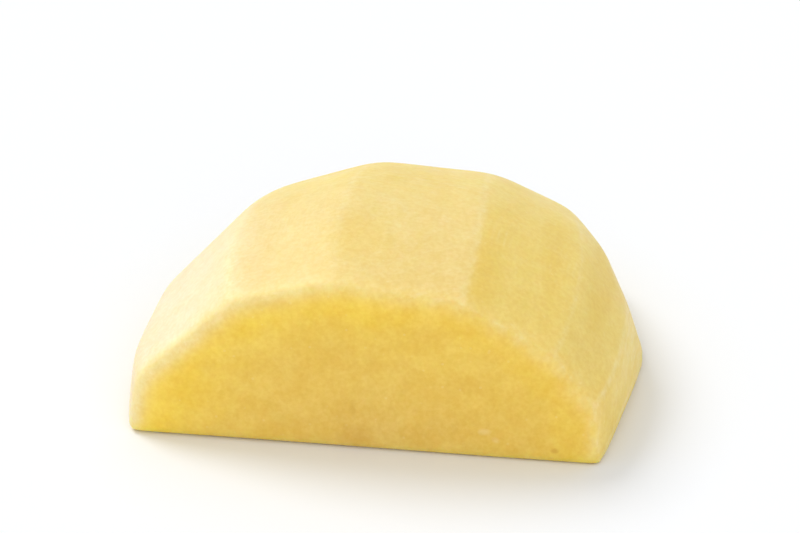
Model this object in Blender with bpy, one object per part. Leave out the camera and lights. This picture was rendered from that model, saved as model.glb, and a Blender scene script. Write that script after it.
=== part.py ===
"""A quarter of a peeled raw potato, lying on its lengthwise cut.

The whole potato lies along Y, a little turned. One knife cut halves it lengthwise and leaves the flat
base at Z = 0. A second cut goes across it and leaves the upright front face, towards -Y. What is left
of the outside was peeled in long strips from end to end, each one nearly flat across, and the tip at
+Y and the two flanks were trimmed with short strokes across them.

Metres, +Z up, with the origin on the base, under the middle of the piece.
"""

import math

import bmesh
import bpy
from mathutils import Matrix, Vector

# The peeled potato before it was cut, measured from the middle of its widest ring.
HALF_WIDTH = 0.0309
HALF_THICKNESS = 0.0237
BACK_REACH = 0.0400
FRONT_REACH = 0.0420
TIP_ASIDE = 0.0030
TIP_DROP = 0.0020

# The two knife cuts: how far the crosswise one is before the widest ring, how far the potato was
# turned under it, and how high the lengthwise one is over the potato's middle.
FRONT_CUT = 0.0158
POTATO_TURN = math.radians(4)
BASE_CUT = 0.0

# The edges between the peeler's strips, in degrees round the long axis at the widest ring, from +X over
# the top, and how far each one winds round from there to the tip.
STRIP_EDGES = (-9, 23, 42, 69, 100, 126, 163, 192, 218, 250, 282, 316)
STRIP_TWIST = math.radians(9)

# The short strokes that trimmed the tip and the flanks. Each takes off a flat of its own depth, and looks
# out at its own angle from +Y towards +X and its own rise over the base. One looks down a little, and
# draws the right flank in towards the base.
SHORT_STROKES = (
    {"aside": math.radians(6), "rise": math.radians(59), "depth": 0.0005},
    {"aside": math.radians(-38), "rise": math.radians(30), "depth": 0.0009},
    {"aside": math.radians(2), "rise": math.radians(16), "depth": 0.0007},
    {"aside": math.radians(48), "rise": math.radians(24), "depth": 0.0008},
    {"aside": math.radians(63), "rise": math.radians(32), "depth": 0.0009},
    {"aside": math.radians(72), "rise": math.radians(19), "depth": 0.0011},
    {"aside": math.radians(96), "rise": math.radians(-16), "depth": 0.0028},
    {"aside": math.radians(-87), "rise": math.radians(20), "depth": 0.0010},
)

# How finely the lengths are divided, from tip to tip.
RINGS = 60

# Faces that meet more sharply than this are shaded with a crease between them.
STRIP_CREASE = math.radians(14)

FLESH_COLOUR = (0.86, 0.66, 0.27, 1.0)
FLESH_ROUGHNESS = 0.42


def clear_scene():
    for thing in list(bpy.data.objects):
        bpy.data.objects.remove(thing, do_unlink=True)


def flesh_material():
    """Raw potato flesh: pale yellow, with a damp, soft gloss."""
    flesh = bpy.data.materials.new("potato_flesh")
    flesh.use_nodes = True
    shader = flesh.node_tree.nodes["Principled BSDF"]
    shader.inputs["Base Color"].default_value = FLESH_COLOUR
    shader.inputs["Roughness"].default_value = FLESH_ROUGHNESS
    shader.inputs["Metallic"].default_value = 0.0
    return flesh


def place_on_potato(point):
    """Where a point of a unit sphere with its poles on Z lies on the peeled potato.

    The lower pole becomes the tip, and the meridians, evenly spaced, the edges between the strips.
    """
    ring_size = math.hypot(point.x, point.y)
    turn = math.atan2(point.y, point.x) % math.tau
    strip = round(turn * len(STRIP_EDGES) / math.tau) % len(STRIP_EDGES)
    along = -point.z
    angle = math.radians(STRIP_EDGES[strip]) + STRIP_TWIST * along
    towards_tip = max(along, 0.0)
    reach = BACK_REACH if along > 0.0 else FRONT_REACH
    return Vector((
        HALF_WIDTH * ring_size * math.cos(angle) + TIP_ASIDE * towards_tip**2,
        reach * along,
        HALF_THICKNESS * ring_size * math.sin(angle) - TIP_DROP * towards_tip**2,
    ))


def whole_potato():
    """The peeled potato: a sphere drawn out to an oval, flat across each strip."""
    body = bmesh.new()
    bmesh.ops.create_uvsphere(body, u_segments=len(STRIP_EDGES), v_segments=RINGS, radius=1.0)
    for corner in body.verts:
        corner.co = place_on_potato(corner.co)
    turn = Matrix.Rotation(-POTATO_TURN, 3, "Z")
    bmesh.ops.rotate(body, verts=body.verts, cent=(0.0, 0.0, 0.0), matrix=turn)
    body.normal_update()
    return body


def flat_cut(body, through, away):
    """Cuts straight through a point, drops what lies towards away, and closes the flat cut face."""
    everything = body.verts[:] + body.edges[:] + body.faces[:]
    cut = bmesh.ops.bisect_plane(
        body, geom=everything, plane_co=through, plane_no=away, clear_outer=True
    )
    rim = [item for item in cut["geom_cut"] if isinstance(item, bmesh.types.BMEdge)]
    filled = bmesh.ops.edgeloop_fill(body, edges=rim)
    for face in filled["faces"]:
        face.normal_update()
        if face.normal.dot(away) < 0.0:
            face.normal_flip()


def trim(body):
    """Takes a flat off for each short stroke, as deep as stated under the farthest point."""
    for stroke in SHORT_STROKES:
        level = math.cos(stroke["rise"])
        outward = Vector((
            level * math.sin(stroke["aside"]),
            level * math.cos(stroke["aside"]),
            math.sin(stroke["rise"]),
        ))
        farthest = max(corner.co.dot(outward) for corner in body.verts)
        flat_cut(body, through=outward * (farthest - stroke["depth"]), away=outward)


def stand_on_origin(body):
    """Moves the piece until the origin is at the bottom centre of its box."""
    places = [corner.co for corner in body.verts]
    low = Vector(min(place[axis] for place in places) for axis in range(3))
    high = Vector(max(place[axis] for place in places) for axis in range(3))
    middle = (low + high) / 2
    bmesh.ops.translate(body, verts=body.verts, vec=(-middle.x, -middle.y, -low.z))


def potato_quarter(flesh):
    body = whole_potato()
    trim(body)
    flat_cut(body, through=(0.0, 0.0, BASE_CUT), away=Vector((0.0, 0.0, -1.0)))
    flat_cut(body, through=(0.0, -FRONT_CUT, 0.0), away=Vector((0.0, -1.0, 0.0)))
    stand_on_origin(body)
    mesh = bpy.data.meshes.new("potato_quarter")
    body.to_mesh(mesh)
    body.free()
    mesh.materials.append(flesh)
    mesh.shade_smooth()
    mesh.set_sharp_from_angle(angle=STRIP_CREASE)
    return bpy.data.objects.new("potato_quarter", mesh)


clear_scene()
potato = bpy.data.collections.new("potato")
bpy.context.scene.collection.children.link(potato)
potato.objects.link(potato_quarter(flesh_material()))
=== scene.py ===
# %% [markdown]
# # A quarter of a peeled raw potato
# A potato was peeled in long strips, halved lengthwise and cut across, and one quarter of it lies on its
# lengthwise cut. It is one solid thing, so the script makes one piece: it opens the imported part, refines
# a copy of its body, gives it raw potato flesh, and sets up the floor, the light and the camera.
# All lengths are in metres, +Z is up, and the front cut face looks towards -Y.

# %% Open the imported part
import math
import bmesh
import bpy
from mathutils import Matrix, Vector


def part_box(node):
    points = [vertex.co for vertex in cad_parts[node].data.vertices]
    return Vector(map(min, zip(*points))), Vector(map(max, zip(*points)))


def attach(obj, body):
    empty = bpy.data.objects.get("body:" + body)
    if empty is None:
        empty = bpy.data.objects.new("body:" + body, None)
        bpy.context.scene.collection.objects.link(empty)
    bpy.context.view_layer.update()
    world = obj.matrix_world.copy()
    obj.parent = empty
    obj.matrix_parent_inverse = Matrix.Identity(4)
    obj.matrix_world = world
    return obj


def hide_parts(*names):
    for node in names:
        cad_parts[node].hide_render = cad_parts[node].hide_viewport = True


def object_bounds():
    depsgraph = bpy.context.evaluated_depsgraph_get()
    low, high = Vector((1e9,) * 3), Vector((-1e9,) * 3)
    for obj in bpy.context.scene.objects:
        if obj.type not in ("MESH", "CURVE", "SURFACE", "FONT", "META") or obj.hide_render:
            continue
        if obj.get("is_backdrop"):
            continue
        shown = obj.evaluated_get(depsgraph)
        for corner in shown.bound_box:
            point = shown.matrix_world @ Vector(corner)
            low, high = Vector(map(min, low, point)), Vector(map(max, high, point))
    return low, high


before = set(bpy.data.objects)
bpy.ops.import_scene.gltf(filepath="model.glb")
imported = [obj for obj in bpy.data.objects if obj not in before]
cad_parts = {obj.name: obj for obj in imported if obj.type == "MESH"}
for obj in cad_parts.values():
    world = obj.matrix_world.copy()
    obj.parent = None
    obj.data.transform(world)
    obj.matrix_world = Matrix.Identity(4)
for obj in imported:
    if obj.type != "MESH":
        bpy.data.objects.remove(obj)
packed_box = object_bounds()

MM = 0.001
CAD_NAME = "potato_quarter"
low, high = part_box(CAD_NAME)
size = high - low
print(f"The packed piece is {size.x / MM:.1f} x {size.y / MM:.1f} x {size.z / MM:.1f} mm")

# %% [markdown]
# ## A body with an even skin of small faces
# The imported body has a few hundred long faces, which is right for weighing and collision but too coarse
# to carry a rounded rim or a grain. Subdividing would keep the long slivers. A voxel remesh gives square
# faces of one size everywhere, so that every later softening reaches equally far in all directions.
# Its faces are loose triangles, so the copy's doubled corners are merged first.

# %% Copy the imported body
MERGE_REACH = 0.001 * MM


def merged_copy(source, name):
    """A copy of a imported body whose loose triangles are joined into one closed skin."""
    skin = bmesh.new()
    skin.from_mesh(source.data)
    bmesh.ops.remove_doubles(skin, verts=skin.verts, dist=MERGE_REACH)
    mesh = bpy.data.meshes.new(name)
    skin.to_mesh(mesh)
    skin.free()
    mesh.materials.clear()
    piece = bpy.data.objects.new(name, mesh)
    bpy.context.scene.collection.objects.link(piece)
    return piece


potato = merged_copy(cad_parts[CAD_NAME], "peeled_potato_quarter")
print(f"The copy has {len(potato.data.vertices)} corners")

# %% Remesh it evenly
SKIN_SPACING = 0.325 * MM


def made_plain(piece):
    """Turns what the piece's modifiers make into its own plain mesh, and removes them."""
    graph = bpy.context.evaluated_depsgraph_get()
    plain = bpy.data.meshes.new_from_object(
        piece.evaluated_get(graph), preserve_all_data_layers=True, depsgraph=graph
    )
    piece.modifiers.clear()
    piece.data = plain


remesh = potato.modifiers.new("Even skin", "REMESH")
remesh.mode = "VOXEL"
remesh.voxel_size = SKIN_SPACING
made_plain(potato)
print(f"Even skin: {len(potato.data.polygons)} faces of about {SKIN_SPACING / MM:.2f} mm")

# %% [markdown]
# ## Helpers for node trees
# A node tree is made of nodes, their options and the links between them. One helper adds a node and
# fills its inputs with plain values or with other nodes' outputs, and a few short ones name what a
# maker does most: arithmetic, a soft step between two levels, stretching, and noise of a stated size.

# %% Add a node


def fill(tree, socket, value):
    """Links a socket to another node's output, or sets it to a plain value."""
    if isinstance(value, bpy.types.NodeSocket):
        tree.links.new(value, socket)
    else:
        socket.default_value = value


def add(tree, kind, inputs=None, **options):
    """Adds a node, sets its options, and sets or links its inputs by name or number."""
    made = tree.nodes.new(kind)
    for option, value in options.items():
        setattr(made, option, value)
    for label, value in (inputs or {}).items():
        fill(tree, made.inputs[label], value)
    return made


# %% Arithmetic and soft steps


def reckon(tree, operation, *values):
    """One step of arithmetic."""
    return add(tree, "ShaderNodeMath", dict(enumerate(values)), operation=operation).outputs[0]


def times(tree, first, *others):
    """The product of all the values."""
    for other in others:
        first = reckon(tree, "MULTIPLY", first, other)
    return first


def soft_step(tree, value, start, end, low_side=0.0, high_side=1.0):
    """Goes smoothly from one value to another while the input goes from start to end."""
    levels = {"Value": value, "From Min": start, "From Max": end, "To Min": low_side, "To Max": high_side}
    return add(tree, "ShaderNodeMapRange", levels, interpolation_type="SMOOTHSTEP").outputs["Result"]


# %% Arrows and lengths


def arrows(tree, operation, first, second, output="Vector"):
    """One step of arithmetic on places or directions."""
    return add(tree, "ShaderNodeVectorMath", {0: first, 1: second}, operation=operation).outputs[output]


def scaled(tree, arrow, factor):
    """An arrow made longer or shorter."""
    inputs = {0: arrow, "Scale": factor}
    return add(tree, "ShaderNodeVectorMath", inputs, operation="SCALE").outputs["Vector"]


def length_of(tree, arrow):
    return add(tree, "ShaderNodeVectorMath", {0: arrow}, operation="LENGTH").outputs["Value"]


def along_axes(tree, place):
    """The X, Y and Z of a place."""
    return add(tree, "ShaderNodeSeparateXYZ", {0: place}).outputs


# %% Noise of a stated size


def noise(tree, place, grain_size, seed, detail=2.0, roughness=0.5):
    """Clouds about as large as grain_size, from 0 to 1."""
    settings = {
        "Vector": place,
        "W": seed,
        "Scale": 1.0 / grain_size,
        "Detail": detail,
        "Roughness": roughness,
    }
    return add(tree, "ShaderNodeTexNoise", settings, noise_dimensions="4D").outputs[0]


# %% [markdown]
# ## Knife and peeler marks
# The knife left two flat faces, the peeler long strips that meet in soft edges, and wet fingers rounded
# the rims. All of it follows one rule along the surface, so a Geometry Nodes tree makes it:
# 1. It tells the three kinds of surface apart by where they are.
# 2. It averages each point of the outside with its neighbours, which melts the strips' edges, and then
#    every point near a rim, which rounds the rim. Averaging never swells a rounded body, so the piece
#    stays within its box, and a flat face stays flat.
# 3. It presses in the fine relief: slow waves, long scratches from the peeler's blade, drag lines from
#    the knife, the crumbling right part of the rim, and a few pits where starch grains broke out.
# The tree also writes down where the peeled outside and the rims are, for the flesh to read.

# %% How many rounds of averaging soften an edge
SPREAD_PER_ROUND = 0.4  # of one spacing squared: how much each round of averaging widens an edge


def rounds_for(width):
    """How many rounds of averaging with the neighbours soften an edge by this width."""
    return round((width / SKIN_SPACING) ** 2 / SPREAD_PER_ROUND)


STRIP_SOFTENING = 0.75 * MM
RIM_SOFTENING = 1.3 * MM
# How far the painted highlight along the rims reaches.
RIM_PALENESS = 1.35 * MM
print(f"{rounds_for(STRIP_SOFTENING)} rounds soften the strips' edges")
print(f"{rounds_for(RIM_SOFTENING)} rounds soften the rims")

# %% Sizes of the marks
FRONT = low.y

marks = {
    "Strip Rounds": rounds_for(STRIP_SOFTENING),
    "Rim Rounds": rounds_for(RIM_SOFTENING),
    "Pale Rounds": rounds_for(RIM_PALENESS),
    "Front": FRONT,
    "Skin Spacing": SKIN_SPACING,
    "Wave Height": 0.16 * MM,
    "Wave Size": 9.0 * MM,
    "Scratch Height": 0.02 * MM,
    "Scratch Size": 0.9 * MM,
    "Knife Line Height": 0.03 * MM,
    "Knife Line Size": 1.4 * MM,
    "Crumble Height": 0.22 * MM,
    "Crumble Size": 0.9 * MM,
    "Pit Depth": 0.12 * MM,
    "Pit Size": 0.35 * MM,
    "Pit Spacing": 3.4 * MM,
    "Seed": 7.0,
}

# %% Start the tree with its named inputs
SOCKET_KINDS = {int: "NodeSocketInt", float: "NodeSocketFloat"}

marking = bpy.data.node_groups.new("Knife and peeler marks", "GeometryNodeTree")
marking.interface.new_socket("Geometry", in_out="INPUT", socket_type="NodeSocketGeometry")
marking.interface.new_socket("Geometry", in_out="OUTPUT", socket_type="NodeSocketGeometry")
for label, value in marks.items():
    marking.interface.new_socket(label, in_out="INPUT", socket_type=SOCKET_KINDS[type(value)])
marking.interface.new_socket("Flesh", in_out="INPUT", socket_type="NodeSocketMaterial")
given = marking.nodes.new("NodeGroupInput").outputs
print(f"The tree of marks takes {len(marks)} sizes")

# %% [markdown]
# ### Keeping, reading and averaging values
# A stored named attribute keeps a value on each point, whatever moves later. The Blur Attribute node
# averages a value with the neighbouring points' values, and it can average the points' places as well.
# Its sockets come in one set for each kind of value, and only the set in use is enabled.

# %% Helpers for the tree of marks


def kept(geometry, value, label):
    """Holds a value on the points as it is now."""
    inputs = {"Geometry": geometry, "Name": label, "Value": value}
    return add(marking, "GeometryNodeStoreNamedAttribute", inputs).outputs["Geometry"]


def read(label):
    """A value that was kept before."""
    return add(marking, "GeometryNodeInputNamedAttribute", {"Name": label}).outputs["Attribute"]


def averaged(value, rounds, weight=1.0, data_type="FLOAT"):
    """Each point's value averaged with its neighbours', as often as rounds says."""
    blur = add(marking, "GeometryNodeBlurAttribute", data_type=data_type)
    in_use = {socket.name: socket for socket in blur.inputs if socket.enabled}
    fill(marking, in_use["Value"], value)
    fill(marking, in_use["Iterations"], rounds)
    fill(marking, in_use["Weight"], weight)
    return next(socket for socket in blur.outputs if socket.enabled)


def moved(geometry, **where):
    """Moves the points, by an Offset or to a Position."""
    return add(marking, "GeometryNodeSetPosition", {"Geometry": geometry, **where}).outputs["Geometry"]


# %% Tell the three kinds of surface apart
here = marking.nodes.new("GeometryNodeInputPosition").outputs[0]
axes = along_axes(marking, here)
half_spacing = reckon(marking, "MULTIPLY", given["Skin Spacing"], 0.5)
on_base = reckon(marking, "LESS_THAN", axes["Z"], half_spacing)
on_front = reckon(marking, "LESS_THAN", axes["Y"], reckon(marking, "ADD", given["Front"], half_spacing))
on_outside = reckon(marking, "SUBTRACT", 1.0, reckon(marking, "MAXIMUM", on_base, on_front))

shape = kept(given["Geometry"], on_outside, "peeled")
shape = kept(shape, on_base, "base")
shape = kept(shape, on_front, "front")
for surface in ("peeled", "base", "front"):
    shape = kept(shape, averaged(read(surface), given["Rim Rounds"]), surface + "_soft")
for surface in ("peeled", "front"):
    shape = kept(shape, averaged(read(surface), given["Pale Rounds"]), surface + "_wide")
print(f"{len(marking.nodes)} nodes tell the surfaces apart")

# %% Melt the strips' edges
MELTED_AWAY = (0.02 * MM, 0.11 * MM)  # how far a point sinks beside a strip's edge, and right on it

melted = averaged(here, given["Strip Rounds"], read("peeled"), "FLOAT_VECTOR")
sunk = arrows(marking, "DISTANCE", here, melted, output="Value")
shape = kept(shape, soft_step(marking, sunk, *MELTED_AWAY), "strip_edge")
shape = moved(shape, Position=melted)

# %% Round the rims
# The rim stays sharper on the right and along the base.
SHARPER_RIGHT = (-26 * MM, 18 * MM, 1.0, 0.3)
SHARPER_BASE = (0.05, 0.4, 1.0, 0.35)

softness = times(
    marking,
    soft_step(marking, axes["X"], *SHARPER_RIGHT),
    soft_step(marking, read("base_soft"), *SHARPER_BASE),
)
shape = moved(shape, Position=averaged(here, given["Rim Rounds"], softness, "FLOAT_VECTOR"))
print(f"{len(marking.nodes)} nodes so far, with the rims rounded")

# %% [markdown]
# ### The relief
# Each kind of mark is a noise pattern measured in its own size. Scratches are noise that is drawn out
# along the potato, the way the peeler went, and knife lines run up and down the cut face. The crumbs
# show only where two blurred surfaces overlap, which is along the rim. Pits are the middles of scattered
# cells, and only some of the cells get one.

# %% Scratches, knife lines and waves
PEELER_DRAG = (1.0, 0.06, 1.0)
KNIFE_DRAG = (0.9, 1.0, 0.08)
FINE = 3.0  # how many finer layers a pattern has


def measured_in(mark_size, drag=(1.0, 1.0, 1.0)):
    """The place measured in marks of one size, drawn out along an axis where drag is small."""
    dragged = arrows(marking, "MULTIPLY", here, drag)
    return scaled(marking, dragged, reckon(marking, "DIVIDE", 1.0, mark_size))


seed = given["Seed"]
waves = noise(marking, measured_in(given["Wave Size"]), 1.0, seed)
scratches = noise(marking, measured_in(given["Scratch Size"], PEELER_DRAG), 1.0, seed, detail=FINE)
knife_lines = noise(marking, measured_in(given["Knife Line Size"], KNIFE_DRAG), 1.0, seed, detail=FINE)

# %% Crumbs along the rim
CRUMBLING_RIGHT = (-5 * MM, 20 * MM, 0.25, 1.0)
OVERLAP_PEAK = 4.0  # two halves overlap by a quarter on the rim itself, and this makes it one

outside, cut_face = read("peeled_soft"), read("front_soft")
crumbs = noise(marking, measured_in(given["Crumble Size"]), 1.0, seed, detail=FINE, roughness=0.6)
along_rim = times(marking, outside, cut_face, OVERLAP_PEAK)
crumbling = times(marking, along_rim, soft_step(marking, axes["X"], *CRUMBLING_RIGHT))

# %% Scattered pits
CHOSEN_CELLS = (0.5, 0.9)

cells = add(marking, "ShaderNodeTexVoronoi", {"Vector": measured_in(given["Pit Spacing"]), "Scale": 1.0})
pit_width = reckon(marking, "DIVIDE", given["Pit Size"], given["Pit Spacing"])
pits = soft_step(marking, cells.outputs["Distance"], 0.0, pit_width, 1.0, 0.0)
draw = along_axes(marking, cells.outputs["Color"])[0]
pits = times(marking, pits, soft_step(marking, draw, *CHOSEN_CELLS))
print(f"{len(marking.nodes)} nodes so far, with every pattern made")

# %% Press the relief in
# The base stays flat, so that the piece lies still.
OFF_BASE = (0.02, 0.5, 1.0, 0.0)

depth = times(marking, waves, given["Wave Height"], outside)
for pattern, height, where in (
    (scratches, "Scratch Height", outside),
    (knife_lines, "Knife Line Height", cut_face),
    (crumbs, "Crumble Height", crumbling),
    (pits, "Pit Depth", 1.0),
):
    depth = reckon(marking, "ADD", depth, times(marking, pattern, given[height], where))
depth = times(marking, depth, soft_step(marking, read("base_soft"), *OFF_BASE))
outward = marking.nodes.new("GeometryNodeInputNormal").outputs[0]
shape = moved(shape, Offset=scaled(marking, outward, times(marking, depth, -1.0)))

# %% Finish the tree
shape = kept(shape, times(marking, read("peeled_wide"), read("front_wide"), OVERLAP_PEAK), "rim")
shape = add(marking, "GeometryNodeSetShadeSmooth", {"Geometry": shape}).outputs["Geometry"]
shape = add(marking, "GeometryNodeRealizeInstances", {"Geometry": shape}).outputs["Geometry"]
coated = {"Geometry": shape, "Material": given["Flesh"]}
shape = add(marking, "GeometryNodeSetMaterial", coated).outputs["Geometry"]
marking.links.new(shape, marking.nodes.new("NodeGroupOutput").inputs["Geometry"])
print(f"The tree of marks has {len(marking.nodes)} nodes")

# %% [markdown]
# ## Raw potato flesh
# Raw flesh is wet, full of starch and lets light in for a few millimetres, so its edges glow and its
# hollows never go black. Just under the skin it is a deep yellow, and towards the heart it turns paler
# and greyer, with a faint ring between them. The peeler leaves the outside creamier, because it tears
# open the starch cells. Painted light is added on top: the rims and ridges get a painted highlight, the
# left strips a painted sheen, and the deep yellow band a painted glow that is stronger on the lit left.
# Light scattering under the surface is the shader's own subsurface, and the layers are worked out from
# the distance to the potato's heart.

# %% Start the flesh
flesh = bpy.data.materials.new("raw_potato_flesh")
flesh.use_nodes = True
mixing = flesh.node_tree
shader = mixing.nodes["Principled BSDF"]
spot = mixing.nodes.new("ShaderNodeTexCoord").outputs["Object"]
across = along_axes(mixing, spot)


def written_down(label):
    """What the tree of marks wrote down about this place."""
    return add(mixing, "ShaderNodeAttribute", attribute_name=label).outputs["Fac"]


def mixed(share, first, second, blend_type="MIX"):
    """Goes from the first colour to the second as the share goes from 0 to 1."""
    mix = add(mixing, "ShaderNodeMix", data_type="RGBA", blend_type=blend_type, clamp_factor=True)
    for number, value in ((0, share), (6, first), (7, second)):
        fill(mixing, mix.inputs[number], value)
    return mix.outputs[2]


def tinted(share, colour, tint):
    """Darkens a colour by a tint."""
    return mixed(share, colour, tint, blend_type="MULTIPLY")


# %% How far out from the heart a place is
# It is 0 at the heart and 1 at the skin, a little unevenly.
HEART = (0.0, FRONT + 15.8 * MM, 0.0)
REACH = (30.9 * MM, 40.0 * MM, 23.7 * MM)
UNEVEN_LAYERS = (0.25, 0.75, -0.06, 0.06)

from_heart = arrows(mixing, "SUBTRACT", spot, HEART)
in_reaches = length_of(mixing, arrows(mixing, "DIVIDE", from_heart, REACH))
layer_noise = noise(mixing, spot, grain_size=6 * MM, seed=1.0, detail=3.0)
out = reckon(mixing, "ADD", in_reaches, soft_step(mixing, layer_noise, *UNEVEN_LAYERS))

# %% Colours of the layers
HEART_COLOUR = (0.825, 0.615, 0.205, 1.0)
INNER_COLOUR = (0.87, 0.635, 0.14, 1.0)
UNDER_SKIN_COLOUR = (0.96, 0.73, 0.09, 1.0)
RING_COLOUR = (0.95, 0.78, 0.35, 1.0)
RING_SHARE = 0.06
# Painted glow: the deep yellow under the skin is painted stronger on the left, where light comes through from
# the lit side.
GLOW_STRONGER_LEFT = (-5 * MM, 20 * MM, 1.0, 0.5)

colour = mixed(soft_step(mixing, out, 0.15, 0.65), HEART_COLOUR, INNER_COLOUR)
# The real deep yellow band under the skin, with painted glow that fades towards the right.
under_skin_and_glow = times(mixing, soft_step(mixing, out, 0.62, 0.98), soft_step(mixing, across["X"], *GLOW_STRONGER_LEFT))
colour = mixed(under_skin_and_glow, colour, UNDER_SKIN_COLOUR)
ring = times(mixing, soft_step(mixing, out, 0.72, 0.79), soft_step(mixing, out, 0.79, 0.88, 1.0, 0.0))
colour = mixed(times(mixing, ring, RING_SHARE), colour, RING_COLOUR)
print(f"{len(mixing.nodes)} nodes make the layers")

# %% [markdown]
# ### The peeled outside
# Each pull of the peeler leaves a strip a little paler or yellower than the next, so a slow noise drawn
# out along the potato tints them. The strips on the left, next to the cut, are painted a paler cream: a
# painted sheen of the light from the left. The ridges where two strips meet are painted pale as a highlight.

# %% Strips, with painted sheen on the left
PEELED_COLOUR = (0.90, 0.71, 0.215, 1.0)
# Painted sheen: a pale cream painted on the left strips, where the light from the left falls on them.
PAINTED_SHEEN_COLOUR = (0.885, 0.757, 0.525, 1.0)
STRIP_TINT = (0.97, 0.93, 0.76, 1.0)
STRIP_DRAG = (1.0, 0.15, 1.0)
PEELED_SHARE = 0.9
SHEEN_STRONGER_LEFT = (-24 * MM, -10 * MM, 1.0, 0.35)
SHEEN_AS_FAR_AS = (10.3 * MM, 12.3 * MM, 1.0, 0.0)
SHEEN_NEAR_CUT = (FRONT + 14 * MM, FRONT + 34 * MM, 1.0, 0.1)

peeled = written_down("peeled_soft")
# The painted sheen is strongest on the left strips near the cut, and gone past the third strip.
painted_sheen = times(
    mixing,
    soft_step(mixing, across["X"], *SHEEN_STRONGER_LEFT),
    soft_step(mixing, across["X"], *SHEEN_AS_FAR_AS),
    soft_step(mixing, across["Y"], *SHEEN_NEAR_CUT),
)
dragged_spot = arrows(mixing, "MULTIPLY", spot, STRIP_DRAG)
strips = noise(mixing, dragged_spot, grain_size=7 * MM, seed=10.0, detail=1.0)
skin_side = tinted(soft_step(mixing, strips, 0.42, 0.58), PEELED_COLOUR, STRIP_TINT)
skin_side = mixed(painted_sheen, skin_side, PAINTED_SHEEN_COLOUR)
colour = mixed(times(mixing, peeled, PEELED_SHARE), colour, skin_side)

# %% Painted highlights on ridges and rims
# Painted highlight: the ridges and rims are painted pale, more strongly on the left, where the light falls.
PAINTED_HIGHLIGHT_COLOUR = (0.93, 0.80, 0.42, 1.0)
PATCHY = (0.35, 0.65, 0.45, 1.0)
RIDGE_HIGHLIGHT_SHARE = 0.5
HIGHLIGHT_STRONGER_LEFT = (-26 * MM, 5 * MM, 1.0, 0.55)
UNBROKEN_LEFT = (-10 * MM, 15 * MM, 1.0, 0.45)

rim = written_down("rim")
patches = soft_step(mixing, noise(mixing, spot, grain_size=2.0 * MM, seed=8.0, detail=3.0), *PATCHY)
# Painted highlight along the ridges between strips, then along the rims.
colour = mixed(times(mixing, written_down("strip_edge"), patches, RIDGE_HIGHLIGHT_SHARE), colour, PAINTED_HIGHLIGHT_COLOUR)
unbroken = reckon(mixing, "MAXIMUM", patches, soft_step(mixing, across["X"], *UNBROKEN_LEFT))
rim_highlight = times(mixing, rim, soft_step(mixing, across["X"], *HIGHLIGHT_STRONGER_LEFT), unbroken)
colour = mixed(rim_highlight, colour, PAINTED_HIGHLIGHT_COLOUR)
print(f"{len(mixing.nodes)} nodes so far, with the outside and the rims")

# %% [markdown]
# ### Blemishes
# A real piece has a few marks of its own. Each one here is a soft blob with a frayed outline. The list
# says where its centre is and how far it reaches along X, Y and Z in millimetres, its colour, and how
# strongly the colour shows at the centre.

# %% Blemishes of this piece
WARM = (0.88, 0.66, 0.17, 1.0)
DULL = (0.74, 0.47, 0.09, 1.0)
FAINT = (0.72, 0.47, 0.11, 1.0)
BROWN = (0.66, 0.36, 0.05, 1.0)
STARCHY = (0.97, 0.84, 0.50, 1.0)

BLEMISHES = {
    "warm patch on the top strip": ((-2.0, -17.0, 23.0), (6.0, 9.0, 5.0), WARM, 0.45),
    "dull patch low in the middle": ((-1.6, -27.4, 1.4), (3.0, 2.0, 3.0), DULL, 0.5),
    "faint line over it": ((-1.7, -27.4, 5.6), (0.6, 2.0, 2.2), FAINT, 0.3),
    "brown speck low on the right": ((21.8, -27.4, 1.7), (0.65, 2.0, 0.5), BROWN, 0.5),
    "pale pit": ((13.6, -27.4, 3.6), (0.9, 2.0, 0.6), STARCHY, 0.35),
    "second pale pit": ((15.0, -27.4, 2.6), (0.7, 2.0, 0.6), STARCHY, 0.3),
}
FRAYED = (0.2, 0.8, 0.7, 1.3)

frays = soft_step(mixing, noise(mixing, spot, grain_size=0.8 * MM, seed=9.0, detail=3.0), *FRAYED)
for centre, reach, tone, share in BLEMISHES.values():
    away = arrows(mixing, "SUBTRACT", spot, Vector(centre) * MM)
    away = length_of(mixing, arrows(mixing, "DIVIDE", away, Vector(reach) * MM))
    colour = mixed(soft_step(mixing, times(mixing, away, frays), 0.2, 1.0, share, 0.0), colour, tone)
print(f"{len(BLEMISHES)} blemishes")

# %% Clouds, grain and starch specks
CLOUD_TINT = (0.94, 0.875, 0.68, 1.0)
GRAIN_TINT = (0.955, 0.915, 0.80, 1.0)
SPECK_COLOUR = (0.95, 0.84, 0.50, 1.0)
CLEARER_OUTSIDE = (0.0, 1.0, 1.0, 0.45)
SPECK_SPACING = 1.1 * MM
SPECK_EDGE = (0.08, 0.2, 1.0, 0.0)
SPECK_SHARE = (0.6, 0.95, 0.0, 0.16)

clouds = noise(mixing, spot, grain_size=2.4 * MM, seed=2.0, detail=4.0, roughness=0.6)
cloudy = times(mixing, soft_step(mixing, clouds, 0.3, 0.7), soft_step(mixing, peeled, *CLEARER_OUTSIDE))
colour = tinted(cloudy, colour, CLOUD_TINT)
grain = noise(mixing, spot, grain_size=0.6 * MM, seed=3.0, detail=3.0, roughness=0.6)
colour = tinted(soft_step(mixing, grain, 0.3, 0.7), colour, GRAIN_TINT)
specks = add(mixing, "ShaderNodeTexVoronoi", {"Vector": spot, "Scale": 1.0 / SPECK_SPACING})
picked = add(mixing, "ShaderNodeSeparateColor", {0: specks.outputs["Color"]}).outputs[0]
speck = soft_step(mixing, specks.outputs["Distance"], *SPECK_EDGE)
colour = mixed(times(mixing, speck, soft_step(mixing, picked, *SPECK_SHARE)), colour, SPECK_COLOUR)
mixing.links.new(colour, shader.inputs["Base Color"])
print(f"{len(mixing.nodes)} nodes make the colour")

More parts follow.
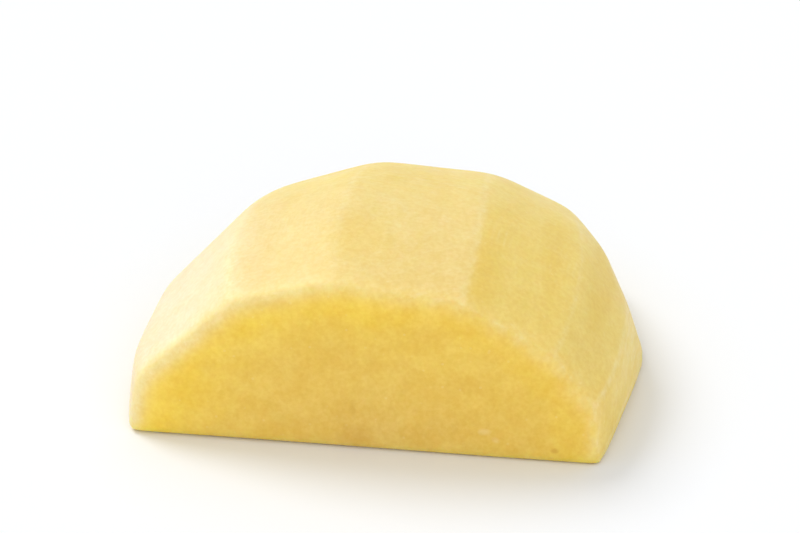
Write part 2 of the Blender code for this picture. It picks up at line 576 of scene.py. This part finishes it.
# %% [markdown]
# ### A damp surface
# The flesh is damp in places and drier on the rims, which only changes its roughness. Cut cells make a
# fine sandy surface over soft lumps, too fine for the mesh, so a small bump stands in for them.

# %% Dampness and cut cells
DAMPNESS = (0.3, 0.7, 0.42, 0.56)
DRY_RIM = 0.06
LUMP_SHARE = 0.7
SAND_SHARE = 0.3
CELL_BUMP = {"Strength": 0.35, "Distance": 0.12 * MM}

damp = noise(mixing, spot, grain_size=4.5 * MM, seed=4.0, detail=3.0)
roughness = reckon(mixing, "ADD", soft_step(mixing, damp, *DAMPNESS), times(mixing, rim, DRY_RIM))
mixing.links.new(roughness, shader.inputs["Roughness"])
lumps = noise(mixing, spot, grain_size=1.1 * MM, seed=5.0, detail=3.0, roughness=0.6)
sand = noise(mixing, spot, grain_size=0.22 * MM, seed=6.0)
surface = reckon(mixing, "ADD", times(mixing, lumps, LUMP_SHARE), times(mixing, sand, SAND_SHARE))
bump = add(mixing, "ShaderNodeBump", {"Height": surface, **CELL_BUMP})
mixing.links.new(bump.outputs["Normal"], shader.inputs["Normal"])

# %% Light in the flesh and the film of water
FLESH_LIGHT = {
    "IOR": 1.38,
    "Subsurface Weight": 0.75,
    "Subsurface Radius": (1.0, 0.62, 0.22),
    "Subsurface Scale": 2.6 * MM,
    "Coat Weight": 0.12,
    "Coat Roughness": 0.25,
    "Coat IOR": 1.33,
}
for label, value in FLESH_LIGHT.items():
    shader.inputs[label].default_value = value
print(f"The flesh has {len(mixing.nodes)} nodes")

# %% [markdown]
# ## Putting it on the piece
# The modifier's inputs are filled through their identifiers before the tree first runs. The result
# becomes the piece's own plain mesh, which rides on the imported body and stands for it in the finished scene.

# %% Apply the marks and the flesh


def fill_inputs(modifier, values):
    """Sets a tree's named inputs through their identifiers, before the tree is first run."""
    for item in modifier.node_group.interface.items_tree:
        if item.item_type == "SOCKET" and item.in_out == "INPUT" and item.name in values:
            modifier[item.identifier] = values[item.name]


cutting = potato.modifiers.new("Knife and peeler marks", "NODES")
cutting.node_group = marking
fill_inputs(cutting, {**marks, "Flesh": flesh})
made_plain(potato)
print(f"The piece has {sum(len(face.vertices) - 2 for face in potato.data.polygons)} triangles")

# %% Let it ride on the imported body
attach(potato, "root")
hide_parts(CAD_NAME)

# %% [markdown]
# ## Floor
# The piece lies on a white table. A wide plane is the simplest floor that never shows an edge. Its white
# is a touch blue, to take up some of the yellow light that the flesh throws on it.

# %% Floor
FLOOR_SIZE = 6.0
TABLE_PAINT = {
    "Base Color": (0.93, 0.945, 0.97, 1.0),
    "Roughness": 0.9,
    "Specular IOR Level": 0.0,
}


def white_floor():
    paint = bpy.data.materials.new("white_table")
    paint.use_nodes = True
    for label, value in TABLE_PAINT.items():
        paint.node_tree.nodes["Principled BSDF"].inputs[label].default_value = value
    mesh = bpy.data.meshes.new("table_top")
    half = FLOOR_SIZE / 2
    corners = [(-half, -half, 0.0), (half, -half, 0.0), (half, half, 0.0), (-half, half, 0.0)]
    mesh.from_pydata(corners, [], [(0, 1, 2, 3)])
    mesh.materials.append(paint)
    floor = bpy.data.objects.new("table_top", mesh)
    bpy.context.scene.collection.objects.link(floor)
    floor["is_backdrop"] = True


white_floor()
print(f"A floor of {FLOOR_SIZE:.0f} x {FLOOR_SIZE:.0f} m")

# %% [markdown]
# ## Light
# White light comes from all round, and a large soft lamp stands high on the left and slightly behind. It
# lights the left strips and leaves a soft shadow on the right. A weaker one in front opens the cut face.
# A third, low on the left, shows only as gloss, the pale sheen on the strips that turn away there.
# The lamps are suns with a wide angle, which act like very large softboxes far away: their light doesn't
# fade across the floor. The backdrop that the camera sees is as bright as the lit floor, so that the
# table has no horizon, while the light that it sends is weaker.

# %% Lamps


def soft_lamp(name, place, spread, strength, seen_in=("diffuse", "glossy")):
    """A wide, far softbox: parallel light from a patch of sky this many degrees across."""
    lamp = bpy.data.lights.new(name, "SUN")
    lamp.angle = math.radians(spread)
    lamp.energy = strength
    holder = bpy.data.objects.new(name, lamp)
    holder.location = place
    holder.rotation_euler = (-Vector(place)).to_track_quat("-Z", "Y").to_euler()
    holder.visible_diffuse = "diffuse" in seen_in
    holder.visible_glossy = "glossy" in seen_in
    bpy.context.scene.collection.objects.link(holder)


soft_lamp("key_from_left", place=(-0.52, 0.36, 0.74), spread=30, strength=1.22)
soft_lamp("fill_from_front", place=(0.25, -0.90, 0.40), spread=50, strength=0.52, seen_in=("diffuse",))
soft_lamp("sheen_from_left", place=(-1.05, 0.70, 0.26), spread=50, strength=1.75, seen_in=("glossy",))
print(f"{len(bpy.data.lights)} lamps")

# %% White room
ROOM_LIGHT = 0.71
BACKDROP = 1.0
WHITE = (1.0, 1.0, 1.0, 1.0)


def white_room():
    """White light from everywhere, before a backdrop as bright as the lit floor."""
    world = bpy.data.worlds.new("white_room")
    world.use_nodes = True
    tree = world.node_tree
    seen = add(tree, "ShaderNodeLightPath").outputs["Is Camera Ray"]
    background = tree.nodes["Background"]
    background.inputs["Color"].default_value = WHITE
    fill(tree, background.inputs["Strength"], soft_step(tree, seen, 0.0, 1.0, ROOM_LIGHT, BACKDROP))
    bpy.context.scene.world = world


white_room()
bpy.context.scene.view_settings.view_transform = "Standard"
print(f"The room lights at {ROOM_LIGHT} and shows at {BACKDROP}")

# %% [markdown]
# ## Camera
# The camera looks down at 28 degrees, a little from the right of the front cut face, through a long
# lens, so that lengths hardly shrink with distance. The lens is chosen from the width to be seen.

# %% Camera
VIEW_AROUND = math.radians(7.9)
VIEW_DOWN = math.radians(28.0)
VIEW_DISTANCE = 0.60
VIEW_WIDTH = 0.096
AIM_HEIGHT = 0.42  # of the piece's height
NEAREST = 0.01


def camera_at_piece():
    data = bpy.data.cameras.new("camera")
    data.lens = data.sensor_width * VIEW_DISTANCE / VIEW_WIDTH
    data.clip_start = NEAREST
    level = VIEW_DISTANCE * math.cos(VIEW_DOWN)
    middle = Vector((0.0, 0.0, size.z * AIM_HEIGHT))
    towards = Vector((
        level * math.sin(VIEW_AROUND),
        -level * math.cos(VIEW_AROUND),
        VIEW_DISTANCE * math.sin(VIEW_DOWN),
    ))
    camera = bpy.data.objects.new("camera", data)
    camera.location = middle + towards
    camera.rotation_euler = (-towards).to_track_quat("-Z", "Y").to_euler()
    bpy.context.scene.collection.objects.link(camera)
    bpy.context.scene.camera = camera
    return data


lens = camera_at_piece().lens
print(f"The lens is {lens:.0f} mm long")

# %% Measure and hand over
made_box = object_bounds()
boxes = {
    "cad": [list(corner) for corner in packed_box],
    "visual": [list(corner) for corner in made_box],
}
for label, box in boxes.items():
    print(label, [round((top - bottom) / MM, 2) for bottom, top in zip(*box)], "mm")
